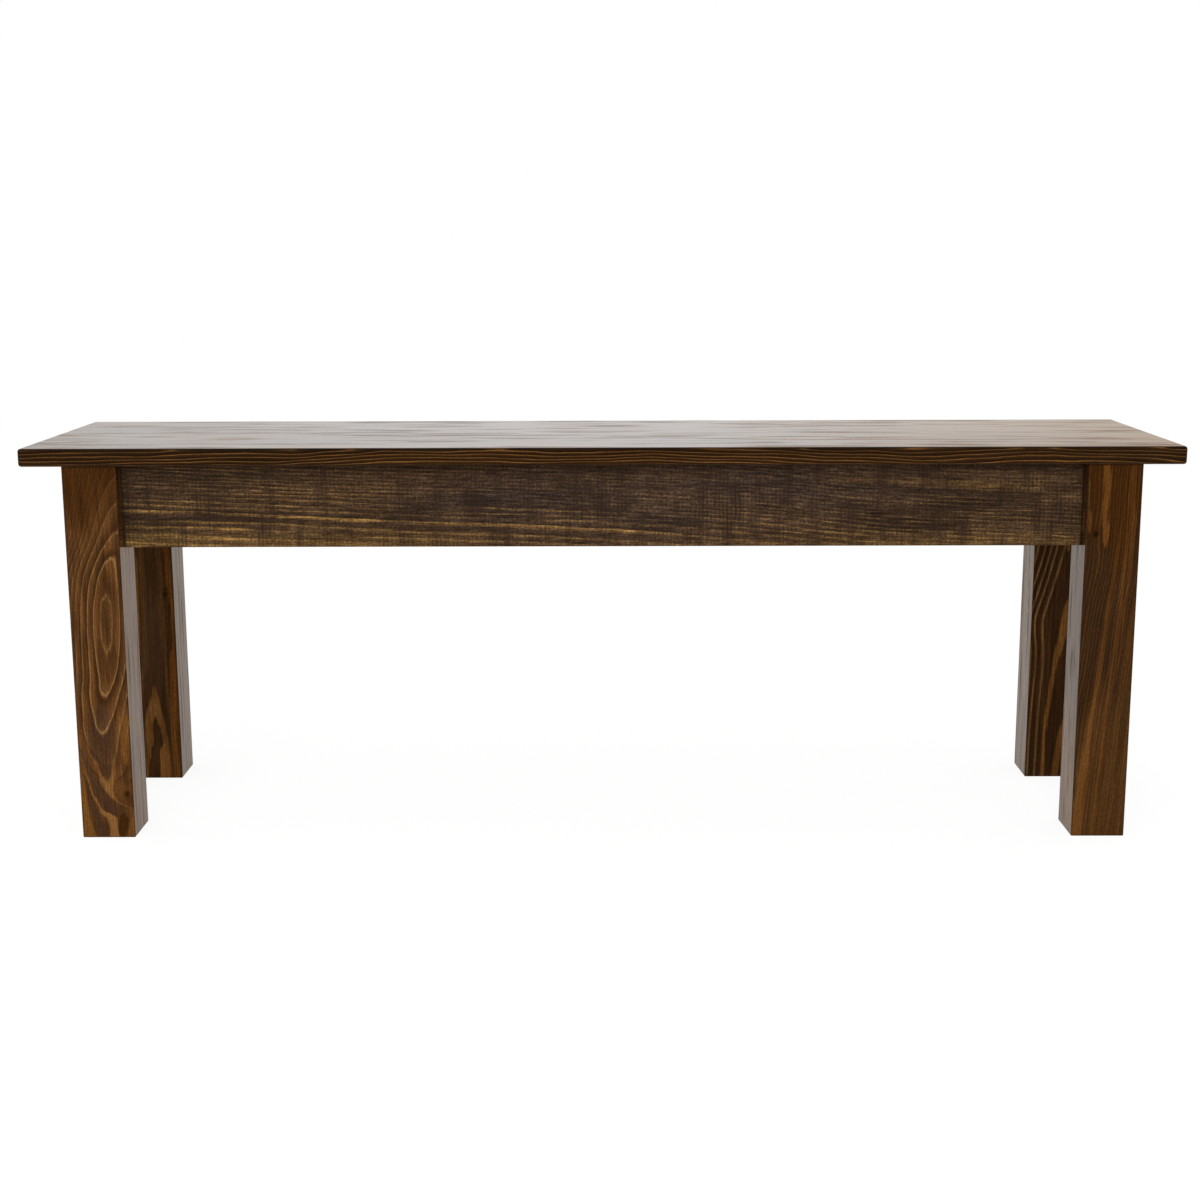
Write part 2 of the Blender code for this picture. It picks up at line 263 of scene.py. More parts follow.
FIGURES = {
    "seat_board": Figure(
        axes="YZX", seed=1, ring=2.0, sway=((60, 300, 2.6), (20, 110, 1.3), (5, 30, 0.3)),
        warmth=(0.0, 0.7), patch=(13, 260), gold=0.95, fibre=(0.4, 1.7, 80), face=0.8,
        heart=((0, 12, -70), (300, 2, -82), (620, -8, -94), (900, 6, -80), (1219, 16, -66)),
    ),
    "leg_front_left": Figure(
        axes="XYZ", seed=2, sway=((40, 200, 0.5), (9, 60, 0.2), (3, 20, 0.1)), lines=THIN_LINES,
        warmth=(0.4, 1.4), patch=(11, 70), gold=0.75, fibre=(0.36, 1.3, 45),
        heart=(
            (0, 8, 57), (30, 10, 54.5), (55, 10, 51.5), (85, 3, 48), (117, -1.3, 44.6), (140, 1.2, 43.2),
            (161, 3.7, 41.9), (183, 8, 40.9), (203, 9.3, 40.2), (241, 10.8, 39.7), (279, 13.7, 40.4),
            (300, 17.8, 41.4), (310, 21.1, 41.9), (325, 26, 43.3), (339, 29, 44.6), (406, 36, 53),
        ),
        rings=(
            (38.9, 0.3), (40.1, 0.45), (41.9, 1.0), (44.6, 0.95), (48.3, 0.8), (52.4, 0.65), (55.5, 0.5),
            (58.5, 0.6), (62.0, 0.4),
        ),
        fade=(
            (0, 0.0), (98, 0.05), (112, 0.9), (125, 1.0), (290, 1.0), (340, 0.5), (370, 0.25), (406, 0.15),
        ),
        marks=(
            Mark("streak", 19, 51, 11, 1.2, 0.4, 4.0),
            Mark("swirl_and_top_shade", 22.5, 48, 7, 1.3, 0.7, 0.0),
            Mark("knot", 21.8, 49.5, 3.6, 1.2, 0.6, 0.0),
        ),
        streaks=(
            # Painted shade under the seat: a broad dark fill over the top of the leg
            Streak("swirl_and_top_shade", 24.0, 0.75, ((290, -10, -20), (335, -10, 10), (406, -10, 60))),
            Streak("streak", 2.0, 0.75, ((0, -21, 7), (20, -23.5, 4.5), (60, -26, 2.5), (100, -27.5, -2))),
            Streak("streak", 3.0, 0.5, (
                (0, 25, 4), (20, 26, 3), (28, 27, -1), (70, 27, -1), (100, 23, 6), (160, 27, -2),
            )),
            Streak("shade", 2.0, 0.75, (
                (62, 2, -2), (70, 1.7, 2.5), (81, -0.7, 8), (95, -1.8, 12), (112, -1.9, 13),
                (130, -1.5, 12), (155, 0, -4),
            )),
            Streak("shade", 2.0, 0.75, (
                (23, 9, -2), (32, 5, 7.5), (44, -2.6, 7.5), (58, -10.2, 5.5), (74, -16.7, 4),
                (95, -21.4, 2.8), (140, -21, -2),
            )),
            Streak("shade", 1.5, 0.75, (
                (0, -6.7, 6.5), (13, -8, 5.7), (25, -12.7, 5), (40, -18, 2.8), (58, -21, 1.7),
                (80, -25, -2),
            )),
            Streak("swirl_and_top_shade", 1.2, 0.75, (
                (0, 15.5, 3.5), (8, 16, 5), (16, 16.3, 5.4), (24, 16.8, 3.5), (29, 17.5, -1.5),
            )),
            Streak("pale", 2.5, 0.7, (
                (33, 28, 0.8), (36, 19, 1.2), (42, 9.5, 1.8), (50, 4, 3.5), (60, -1, 5), (70, -5.5, 2.5),
                (84, -11, 1.2), (101, -17.4, 0.8), (130, -19, -1),
            )),
            Streak("pale", 2.5, 0.65, (
                (50, 3, -1), (58, 4, 4), (69, 6.9, 3), (84, 10, 1.5), (101, 14, 1), (129, 18, 0.5),
                (150, 22, -1),
            )),
            Streak("pale", 2.0, 0.85, (
                (0, 6.7, 5.5), (12, 4.7, 4.5), (20, 4, 5), (25, 0.5, 5), (31, -6, 2.5), (49, -14.4, 1.2),
                (63, -18.3, 1), (95, -27, -1),
            )),
        ),
    ),
    "leg_front_right": Figure(
        axes="XYZ", seed=3, ring=3.2, sway=((24, 170, 2.0), (8, 60, 0.8), (2.5, 22, 0.3)),
        warmth=(-0.15, 0.4), patch=(6, 160), gold=0.2, fibre=(0.24, 1.3, 60), lean=0.09,
        heart=(
            (0, -64, 12), (76, -58, 12), (139, -53, 12), (190, -46, 12), (241, -42, 12), (317, -32, 12),
            (406, -31, 12),
        ),
        marks=(
            Mark("swirl_and_top_shade", -18.2, 334, 8, 1.6, 0.6, 1.5),
            Mark("knot", -18.2, 332, 4.2, 1.2, 0.9, 0.0),
        ),
        streaks=(
            Streak("leg_dark", 4.0, 0.8, (
                (110, -29, -2), (150, -24, 5), (183, -20, 10), (213, -18, 13), (254, -16, 15),
                (322, -12, 17), (406, -12, 17),
            )),
            # Painted shade under the seat: a broad dark fill over the top of the leg
            Streak("swirl_and_top_shade", 24.0, 0.95, ((230, 6, -24), (310, 6, 14), (406, 6, 60))),
            Streak("ember", 6.0, 0.3, (
                (0, 27, -2), (120, 26, 3), (200, 25, 5), (290, 27, 0), (330, 28, -6),
            )),
            Streak("pale", 2.0, 0.35, (
                (0, -23.5, 4), (51, -22.4, 4.5), (89, -17.4, 4), (127, -13.7, 3), (157, -10, 2),
                (190, -5, -1),
            )),
            Streak("streak", 24.0, 0.2, ((0, 0, 40), (100, 0, 30), (220, 0, -24))),
            Streak("ember", 3.0, 0.55, (
                (0, -25, 6), (50, -20, 5), (123, -13.5, 3.8), (176, -7.8, 3), (242, -2.6, 2.6),
                (326, 6.5, 1.2), (380, 9, -2),
            )),
            Streak("ember", 2.0, 0.45, (
                (0, -5, 2), (31, -3.9, 2.2), (88, -1.3, 2.2), (161, 3.9, 2.4), (230, 9.1, 2.2),
                (261, 11.7, 2), (406, 17, 1),
            )),
            Streak("ember", 1.6, 0.4, ((150, 12, -1), (230, 15, 2), (330, 20, 2.4), (406, 19.5, 1.6))),
            Streak("ember", 1.2, 0.85, (
                (314, -8.7, -1), (321, -8.7, 1.2), (338, -8.4, 3), (372, -8.5, 3.8), (406, -9.9, 3.6),
            )),
            Streak("ember", 1.5, 0.7, ((330, -25, -1), (340, -24.5, 2), (350, -25, 2), (360, -26, -1))),
        ),
    ),
    "leg_rear_left": Figure(
        seed=4, ring=7.0, lines=BROAD_BANDS, warmth=(0.15, 0.3), gold=0.12,
        heart=(
            (0, 0, 10), (30, 0, 13), (72, -1, 17.2), (115, 0, 21.5), (170, 3, 23.5), (320, 3, 24),
            (406, 3, 24),
        ),
        marks=(
            Mark("knot", 18.2, 226, 3.6, 1.2, 0.6, 1.0),
        ),
        streaks=(
            Streak("shade", 8.0, 0.5, ((60, 0, -4), (100, 0, 10), (180, 1, 12), (240, 2, 6), (280, 2, -6))),
            Streak("streak", 1.6, 0.6, (
                (125, -26, -1), (160, -21, 6), (220, -19, 7), (260, -19, 6.5), (289, -20, 5.5),
                (406, -21, 6),
            )),
            Streak("ember", 1.6, 0.8, (
                (0, 23, 5), (60, 22, 5), (120, 23, 5), (145, 23, 4.5), (175, 25.5, 2.5), (225, 25, 2.5),
                (250, 23, 3.5), (406, 23, 4),
            )),
            Streak("streak", 1.2, 0.6, (
                (0, 1, 15.5), (30, 0.5, 14), (65, -1.3, 11.5), (90, -0.5, 7.5), (108, 0, 3.5), (119, 0, -1),
            )),
            Streak("leg_dark", 1.2, 0.95, (
                (0, -5, 5.5), (25, -2.8, 5.4), (37, -1.2, 6.2), (50, 1, 5.8), (72, -0.3, 3), (80, -0.5, -1),
            )),
            Streak("streak", 1.2, 0.75, (
                (0, 9, 4), (10, 7.5, 5), (25, 7.4, 4.9), (38, 8, 3.2), (46, 8, -1),
            )),
        ),
        **REAR_LEG,
    ),
    "leg_rear_right": Figure(
        seed=5, ring=6.4, lines=WIDE_LINES, warmth=(-0.1, 0.2), gold=0.55,
        heart=(
            (0, -61, 20), (70, -59.5, 20), (107, -57.5, 20), (140, -56, 20), (160, -56.5, 20),
            (178, -58.5, 20), (190, -59, 20), (202, -57, 20), (215, -53.5, 20), (240, -47, 20),
            (260, -42, 20), (280, -37.5, 20), (406, -18, 20),
        ),
        rings=((24.4, 0.9), (29.5, 1.0), (35.2, 0.9), (40.5, 0.9), (48.5, 0.8), (56, 0.0)),
        fade=((0, 0.75), (140, 0.75), (200, 1.0), (406, 1.0)),
        streaks=(
            Streak("streak", 1.4, 0.65, (
                (0, -8, 2), (75, -5.6, 2.2), (112, -2, 3), (137, 1, 3.6), (162, 6, 5), (187, 10, 5),
                (207, 13, 3.8), (221, 14.5, -1),
            )),
            Streak("streak", 1.5, 0.6, ((0, 8, 4.5), (34, 10.5, 4), (68, 14.5, 2.5), (78, 17, -1))),
            Streak("streak", 1.5, 0.7, ((272, 10.5, -1), (285, 11.5, 3), (300, 12.5, 3.5), (406, 16, 5))),
        ),
        **REAR_LEG,
    ),
    "front_apron": Figure(
        axes="ZYX", seed=6, ring=4.0, sway=((26, 300, 2.0), (10, 110, 0.9), (3, 24, 0.5)), lines=WIDE_LINES,
        warmth=(0.0, 0.75), gold=0.9, fibre=(0.58, 1.3, 20), torn=0.6,
        heart=(
            (0, -70, 40), (250, -81, 40), (500, -91, 40), (680, -104, 40), (800, -117, 40),
            (1018, -128, 40),
        ),
        rings=(
            (51, 0.75), (57, 0.75), (62.5, 0.75), (68, 0.6), (76.5, 1.0), (82.5, 0.6), (87, 0.7), (92, 0.8),
            (96.5, 0.5), (101, 0.7), (105, 0.5),
        ),
        fade=((0, 1.0), (180, 1.0), (260, 0.9), (340, 0.68), (640, 0.64), (800, 0.78), (1018, 0.72)),
        rise=((-44, 1.05), (-20, 0.95), (0, 0.8), (44, 0.55)),
        streaks=(
            # Painted reflection: a grey cast over the middle of the front apron, for the white floor its
            # face mirrors
            Streak("grey", 60.0, 0.5, (
                (240, 10, -30), (420, 10, 40), (640, 12, 50), (800, 16, 20), (940, 20, -30),
            )),
            # Lighter towards the bottom: broad gold bands along the lower edge
            Streak("sawn_gold", 30.0, 0.45, ((0, -44, 18), (250, -44, 14), (480, -44, -4))),
            Streak("sawn_gold", 30.0, 0.4, (
                (560, -44, -14), (680, -44, 6), (850, -44, 8), (1018, -44, 10),
            )),
            # Painted shade under the seat, partly darker stain: a broad dark band along the top edge
            Streak("sawn_dark", 36.0, 0.9, (
                (0, 44, 23), (580, 44, 22), (700, 44, 4), (880, 44, 4), (1018, 44, 28),
            )),
            Streak("sawn_dark", 16.0, 0.35, ((580, -4, -10), (700, -4, 6), (880, -6, 6), (980, -8, -10))),
            Streak("sawn_gold", 8.0, 0.3, ((690, 28, -6), (780, 26, 3), (900, 20, 4), (1018, 13, -3))),
        ),
    ),
    "rear_apron": Figure(
        axes="ZYX", seed=7, ring=3.8,
        heart=((0, 98, -30), (380, 106, -30), (700, 92, -30), (1018, 104, -30)),
        marks=(
            Mark("swirl_and_top_shade", -12, 690, 9, 1.4, 0.6, 4.0),
            Mark("knot", -12, 690, 4, 1.3, 0.9, 0.0),
        ),
        **HIDDEN_APRON,
    ),
    "left_apron": Figure(
        axes="ZXY", seed=8, ring=4.0,
        heart=((0, -84, 30), (90, -88, 30), (165, -95, 30)),
        **HIDDEN_APRON,
    ),
    "right_apron": Figure(
        axes="ZXY", seed=9, ring=3.7,
        heart=((0, 90, -24), (80, 84, -24), (165, 80, -24)),
        **HIDDEN_APRON,
    ),
    "cross_rail": Figure(
        axes="ZXY", seed=10, ring=3.6, sway=APRON_SWAY, warmth=(0.0, 0.5), gold=0.75, fibre=(0.25, 1.6, 18),
        torn=0.3,
        heart=((0, -20, 44), (100, -12, 38), (203, 4, 50)),
    ),
}

# A board's figure in a material: its node tree, the coordinates in metres, the places across, through and
# along the board in millimetres, and all three as its noise reads them
Grain = namedtuple("Grain", "tree board figure coords across depth along timber")


def linear(shade):
    """An sRGB hex colour as linear red, green, blue and alpha."""
    parts = [int(shade[start:start + 2], 16) / 255 for start in (1, 3, 5)]
    return (*[part / 12.92 if part <= 0.04045 else ((part + 0.055) / 1.055) ** 2.4 for part in parts], 1.0)


def colour(name, shade, description):
    """A colour that a user may change, with an sRGB hex value as its default."""
    return bpy.props.FloatVectorProperty(
        name=name, description=description, subtype="COLOR", size=4, min=0.0, max=1.0, default=linear(shade)
    )


def number(name, value, description, **kind):
    """A number that a user may change."""
    return bpy.props.FloatProperty(name=name, description=description, default=value, **kind)


def length(name, size, description):
    """A length in metres that a user may change."""
    return number(name, size, description, unit="LENGTH", precision=5)


def angle(name, degrees, description):
    """An angle that a user may change."""
    return number(name, math.radians(degrees), description, subtype="ANGLE")


class BenchSizes(bpy.types.PropertyGroup):
    """Sizes of the worked edges and of the saw marks"""

    seat_rounding: length("Seat rounding", 0.0032, "Radius of the seat's edges and corners")
    leg_easing: length("Leg easing", 0.0012, "Radius that takes the sharpness off the legs' edges")
    board_easing: length("Board easing", 0.0008, "Radius on the lower edges of the aprons and the rail")
    saw_pitch: length("Saw mark pitch", 0.0043, "Distance between the saw's marks along an apron")
    saw_depth: length("Saw mark depth", 0.0003, "Deepest mark that the saw left")
    grid_along: length("Relief step along", 0.001, "Mesh spacing along a sawn face")
    grid_across: length("Relief step across", 0.004, "Mesh spacing across a sawn face")
    rounding_steps: bpy.props.IntProperty(
        name="Rounding steps", description="Facets in a rounded edge", default=5, min=1
    )


class BenchColours(bpy.types.PropertyGroup):
    """Colours of the stained pine, of the screws and of the floor"""

    seat_dark: colour("Seat, soft wood", "#120a05", "Soft wood of the seat, which drinks the stain")
    seat_warm: colour("Seat, warm wood", "#24150a", "Soft wood of the seat where it took less stain")
    seat_gold: colour("Seat, ring lines", "#7f552b", "Hard ring lines of the seat, which shed the stain")
    leg_dark: colour("Legs, soft wood", "#2c1a0c", "Soft wood of the legs, which drinks the stain")
    leg_warm: colour("Legs, warm wood", "#5a391c", "Soft wood of the legs where it took less stain")
    leg_gold: colour("Legs, ring lines", "#88653c", "Hard ring lines of the legs, which shed the stain")
    # Also the painted shade along the front apron's top edge, under the seat
    sawn_dark: colour("Aprons, soft wood", "#2a1f19", "Soft wood of the aprons and rail, dark with stain")
    sawn_warm: colour("Aprons, warm wood", "#5c452f", "Soft wood of the aprons and rail with less stain")
    sawn_gold: colour("Aprons, ring lines", "#94703e", "Ring lines of the aprons and the rail")
    knot: colour("Knots", "#0c0603", "Hearts of the knots")
    # Knot swirls, and the painted shade under the seat that fills the tops of the front legs
    swirl_and_top_shade: colour("Knot swirls", "#331a04", "Dark wood that swirls round a knot or fills a leg's top")
    streak: colour("Streaks", "#724a20", "Orange streaks in the legs")
    ember: colour("Reddish streaks", "#5e3814", "Reddish streaks in the legs")
    pale: colour("Pale streaks", "#825a30", "Pale streaks in the front legs")
    shade: colour("Dark bands", "#422c1d", "Dark bands in the legs, where open wood drank the stain")
    # Painted reflection: this grey stands for the white floor mirrored in the middle of the front apron
    grey: colour("Grey wood", "#3a302e", "Wood of an apron that had turned grey before it was stained")
    sheen: colour("Sheen", "#a07c58", "Gloss of the finish face on; at a low angle it mirrors white")
    zinc: colour("Zinc", "#c9c6bd", "Zinc plating of the screws")
    zinc_dull: colour("Dull zinc", "#a39f94", "Zinc plating where it has dulled")
    floor: colour("Floor", "#f4f3f1", "Plain pale floor")
    mirrored: colour("Mirrored floor", "#fbeee2", "Floor as the lacquer mirrors it, warm beside the wood")
    left_wall: colour("Left wall", "#e6e4e1", "Wall left of the white sweep, as the lacquer mirrors it")
    right_wall: colour("Right wall", "#e7d5c1", "Wall right of the white sweep, as the lacquer mirrors it")


class BenchStage(bpy.types.PropertyGroup):
    """Camera, lamps and floor"""

    camera_place: bpy.props.FloatVectorProperty(
        name="Camera place",
        description="Where the camera stands",
        subtype="XYZ",
        unit="LENGTH",
        default=(0.0064, -2.0268, 0.6367),
    )
    camera_yaw: angle("Camera yaw", -0.26, "Turn to the right, away from the bench's depth")
    camera_pitch: angle("Camera pitch", -11.21, "Tilt above the horizon")
    camera_roll: angle("Camera roll", -0.17, "Turn about the line of sight")
    lens: number("Lens", 54.4, "Focal length on a 36 mm sensor", unit="CAMERA")
    floor_side: length("Floor side", 16.0, "Side of the square floor")
    floor_glow: number(
        "Floor glow", 0.8, "How far the floor is plain white, not shaded", subtype="FACTOR", min=0.0, max=1.0
    )
    sky: number("Sky", 0.62, "Strength of the white surroundings as a lamp", min=0.0)
    lamp: number("Lamp", 60.0, "Power of the soft lamp in front of the bench", unit="POWER", min=0.0)


class BenchSettings(bpy.types.PropertyGroup):
    """Everything that can be set on the bench"""

    sizes: bpy.props.PointerProperty(type=BenchSizes)
    colours: bpy.props.PointerProperty(type=BenchColours)
    stage: bpy.props.PointerProperty(type=BenchStage)


def add(tree, kind, inputs=(), **settings):
    """Add a shader node with its settings, and set its inputs or link them.

    inputs come by name or in the order of the sockets. A node as an input gives its first output.
    """
    node = tree.nodes.new("ShaderNode" + kind)
    for name, value in settings.items():
        setattr(node, name, value)
    for name, value in inputs.items() if isinstance(inputs, dict) else enumerate(inputs):
        if isinstance(name, int):
            socket = node.inputs[name]
        else:
            socket = next(each for each in node.inputs if each.enabled and each.name == name)
        if isinstance(value, bpy.types.Node):
            value = next(each for each in value.outputs if each.enabled)
        if isinstance(value, bpy.types.NodeSocket):
            tree.links.new(value, socket)
        else:
            socket.default_value = value
    return node


def new_material(name):
    """A node material with nothing in its tree yet."""
    material = bpy.data.materials.new(name)
    material.use_nodes = True
    material.node_tree.nodes.clear()
    return material


def follow(tree, value, points, bent=True):
    """Read a value off a line through points (value, level), which runs level beyond its ends."""
    first, last = points[0][0], points[-1][0]
    levels = [level for place, level in points]
    low, high = min(levels), max(levels)
    if low == high:
        return low
    run = add(tree, "MapRange", (value, first, last))
    curve = add(tree, "FloatCurve", {"Value": run})
    line = curve.mapping.curves[0].points
    while len(line) < len(points):
        line.new(0.5, 0.5)
    for spot, (place, level) in zip(line, points):
        spot.location = ((place - first) / (last - first), (level - low) / (high - low))
        spot.handle_type = "AUTO_CLAMPED" if bent else "VECTOR"
    curve.mapping.update()
    return add(tree, "Math", (curve, high - low, low), operation="MULTIPLY_ADD")


def set_ramp(ramp, stops):
    """Give a colour ramp its stops, each with its place and its colour or grey value."""
    elements = ramp.color_ramp.elements
    while len(elements) < len(stops):
        elements.new(0.5)
    for element, (place, shade) in zip(elements, stops):
        element.position = place
        element.color = shade if isinstance(shade, tuple) else (shade, shade, shade, 1.0)


def board_axis(board, place):
    """The axis that runs across a board, through it or along it, for place 0, 1 or 2."""
    return "XYZ".index(FIGURES[board].axes[place])


def read_grain(tree, board):
    """A board's figure, with nodes that read a point's place on the board."""
    figure = FIGURES[board]
    low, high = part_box(board)
    across_axis = board_axis(board, 0)
    origin = low.copy()
    origin[across_axis] = ((low + high) / 2)[across_axis]
    coords = add(tree, "TexCoord").outputs["Object"]
    place = add(tree, "Mapping", {"Vector": coords, "Location": -origin * MM, "Scale": (MM, MM, MM)})
    split = add(tree, "SeparateXYZ", (place,))
    across, depth, along = (split.outputs[axis] for axis in figure.axes)
    leaning = add(tree, "Math", (along, -figure.lean, across), operation="MULTIPLY_ADD")
    timber = add(tree, "CombineXYZ", (leaning, depth, along))
    return Grain(tree, board, figure, coords, across, depth, along, timber)


def grain_noise(grain, step, width, run, detail=1.0, centred=False):
    """Noise in cells that are width across the grain and run along it, in millimetres."""
    seed = grain.figure.seed + step
    cells = add(
        grain.tree,
        "VectorMath",
        (grain.timber, (1 / width, 1 / width, 1 / run), [seed * stride for stride in SEED_STRIDE]),
        operation="MULTIPLY_ADD",
    )
    return add(
        grain.tree, "TexNoise", {"Vector": cells, "Scale": 1.0, "Detail": detail}, normalize=not centred
    )


def mark_distances(grain):
    """How far a point lies from the middle of each mark, in half widths of that mark."""
    tree = grain.tree
    distances = []
    for mark in grain.figure.marks:
        side = add(tree, "Math", (grain.across, mark.across), operation="SUBTRACT")
        rise = add(tree, "Math", (grain.along, mark.along), operation="SUBTRACT")
        squeezed = add(tree, "Math", (rise, mark.stretch), operation="DIVIDE")
        offset = add(tree, "CombineXYZ", (side, squeezed))
        reach = add(tree, "VectorMath", (offset,), operation="LENGTH")
        distances.append(add(tree, "Math", (reach, mark.radius), operation="DIVIDE"))
    return distances


def heart_distance(grain):
    """Distance from the tree's heart, which wanders through or past the board."""
    offsets = []
    for column, side in ((1, grain.across), (2, grain.depth)):
        heart = follow(grain.tree, grain.along, [(point[0], point[column]) for point in grain.figure.heart])
        offsets.append(add(grain.tree, "Math", (side, heart), operation="SUBTRACT"))
    offset = add(grain.tree, "CombineXYZ", offsets)
    return add(grain.tree, "VectorMath", (offset,), operation="LENGTH")


def growth(tree, figure, radius):
    """The year in which the wood at a radius grew, and how strong that year's line is."""
    if not figure.rings:
        years = add(tree, "Math", (radius, figure.ring), operation="DIVIDE")
        year = add(tree, "Math", (years,), operation="FLOOR")
        chance = add(tree, "TexWhiteNoise", {"W": year}, noise_dimensions="1D")
        return years, add(tree, "MapRange", (chance, 0.0, 1.0, FAINTEST_YEAR))
    lines = [(ring[0], place + LINE_PLACE) for place, ring in enumerate(figure.rings)]
    first, last = figure.rings[0][0], figure.rings[-1][0]
    before = (0.0, LINE_PLACE - first / figure.ring)
    after = (last * 2, lines[-1][1] + last / figure.ring)
    years = follow(tree, radius, [before, *lines, after], bent=False)
    strengths = [(place + LINE_PLACE, ring[1]) for place, ring in enumerate(figure.rings)]
    return years, follow(tree, years, strengths, bent=False)


def ring_lightness(grain, mark_reaches):
    """How light the growth rings make a point, from 0 in soft wood to 1 on a bright line, and how warm."""
    tree, figure = grain.tree, grain.figure
    radius = heart_distance(grain)
    for width, run, amount in figure.sway:
        wave = grain_noise(grain, SWAY_SEED, width, run, centred=True)
        radius = add(tree, "Math", (wave, amount, radius), operation="MULTIPLY_ADD")
    for mark, reach in zip(figure.marks, mark_reaches):
        if mark.lift:
            bulge = add(
                tree, "MapRange", (reach, 0.0, LIFT_REACH, mark.lift, 0.0), interpolation_type="SMOOTHERSTEP"
            )
            radius = add(tree, "Math", (radius, bulge), operation="ADD")
    years, strength = growth(tree, figure, radius)
    season = add(tree, "Math", (years,), operation="FRACT")
    lines = add(tree, "ValToRGB", (season,))
    set_ramp(lines, figure.lines)
    shade = add(tree, "ValToRGB", (season,))
    set_ramp(shade, SOFT_WOOD)
    soft = add(tree, "Mix", {"Factor": strength, "A": 1.0, "B": shade}, data_type="FLOAT")
    factors = [strength]
    factors += [
        follow(tree, place, points)
        for place, points in ((grain.along, figure.fade), (grain.across, figure.rise))
        if points
    ]
    if figure.torn:
        for width, run, detail, most in TEARS:
            tears = grain_noise(grain, TEAR_SEED, width, run, detail)
            factors.append(add(tree, "MapRange", (tears, *TEAR_SPAN, 1 - figure.torn, most)))
    lightness = lines
    for factor in (*factors, figure.gold):
        lightness = add(tree, "Math", (lightness, factor), operation="MULTIPLY")
    return lightness, soft


def layered(tree, wood, layers):
    """Wood with other colours over it, each layer with its cover and its colour."""
    for cover, shade in layers:
        wood = add(tree, "Mix", {"Factor": cover, "A": wood, "B": shade}, data_type="RGBA")
    return wood


def warm_layers(grain, warm, gold, soft):
    """Layers of soft wood that took less stain, warm in long patches, and of painted sheen on a broad face.
    """
    tree, figure = grain.tree, grain.figure
    patches = grain_noise(grain, PATCH_SEED, *figure.patch, detail=2.0)
    warmth = add(tree, "MapRange", (patches, *PATCH_SPAN, *figure.warmth))
    layers = [(add(tree, "Math", (warmth, soft), operation="MULTIPLY"), warm)]
    if figure.face:
        # Painted sheen: a broad face is lighter than an edge, for the warm gloss the top shows at a low
        # angle
        low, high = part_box(grain.board)
        half_depth = ((low + high) / 2 - low)[board_axis(grain.board, 1)] * MM
        level = add(tree, "Math", (grain.depth, half_depth), operation="SUBTRACT")
        outer = add(tree, "Math", (level,), operation="ABSOLUTE")
        skin = [half_depth - under for under in FACE_SKIN]
        sheen_faced = add(tree, "MapRange", (outer, *skin, 0.0, figure.face))
        shown = add(tree, "MapRange", (patches, *TONE_SPAN, FACE_LEAST))
        layers.append((add(tree, "Math", (sheen_faced, shown), operation="MULTIPLY"), gold))
    return layers


def streak_cover(tree, streak, place, along):
    """How far a point lies within a streak, from 0 outside it to the streak's strength."""
    middle = follow(tree, along, [point[:2] for point in streak.path])
    reach = follow(tree, along, [(point[0], point[2]) for point in streak.path])
    offset = add(tree, "Math", (place, middle), operation="SUBTRACT")
    span = add(tree, "Math", (offset,), operation="ABSOLUTE")
    inside = add(tree, "Math", (reach, span), operation="SUBTRACT")
    return add(
        tree,
        "MapRange",
        (inside, -streak.blur / 2, streak.blur, 0.0, streak.strength),
        interpolation_type="SMOOTHSTEP",
    )


def streak_layers(grain, colours):
    """Layers of streaks, which lean through the board, waver along it and end in feathered fibres."""
    tree = grain.tree
    place = add(tree, "Math", (grain.depth, STREAK_LEAN, grain.across), operation="MULTIPLY_ADD")
    for width, run, amount in STREAK_SWAY:
        waver = grain_noise(grain, STREAK_SEED, width, run, centred=True)
        place = add(tree, "Math", (waver, amount, place), operation="MULTIPLY_ADD")
    return [
        (streak_cover(tree, streak, place, grain.along), tuple(getattr(colours, streak.kind)))
        for streak in grain.figure.streaks
    ]


def mark_layers(grain, mark_reaches, colours):
    """Layers of knots and of the swirls round them."""
    layers = []
    for mark, reach in zip(grain.figure.marks, mark_reaches):
        fading = (reach, MARK_CORE, MARK_END, mark.strength, 0.0)
        cover = add(grain.tree, "MapRange", fading, interpolation_type="SMOOTHSTEP")
        layers.append((cover, tuple(getattr(colours, mark.kind))))
    return layers


def toned(tree, wood, cells, amount):
    """Wood that noise makes lighter and darker, by up to an amount of its tone."""
    tone = add(tree, "MapRange", (cells, *TONE_SPAN, 1 - amount, 1 + amount))
    return add(tree, "HueSaturation", {"Value": tone, "Color": wood})


def edge_distance(grain):
    """Distances in millimetres from a board's nearest edge, along the surface, and from its nearest end."""
    tree = grain.tree
    low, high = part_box(grain.board)
    middle = (low + high) / 2 * MM
    half = (high - low) / 2 * MM
    centred = add(tree, "VectorMath", (grain.coords, (MM, MM, MM), -middle), operation="MULTIPLY_ADD")
    span = add(tree, "VectorMath", (centred,), operation="ABSOLUTE")
    room = add(tree, "VectorMath", (half, span), operation="SUBTRACT")
    split = add(tree, "SeparateXYZ", (room,))
    x, y, z = split.outputs
    near = add(tree, "Math", (x, y), operation="MINIMUM")
    far = add(tree, "Math", (x, y), operation="MAXIMUM")
    third = add(tree, "Math", (far, z), operation="MINIMUM")
    return add(tree, "Math", (near, third), operation="MAXIMUM"), split.outputs[grain.figure.axes[2]]


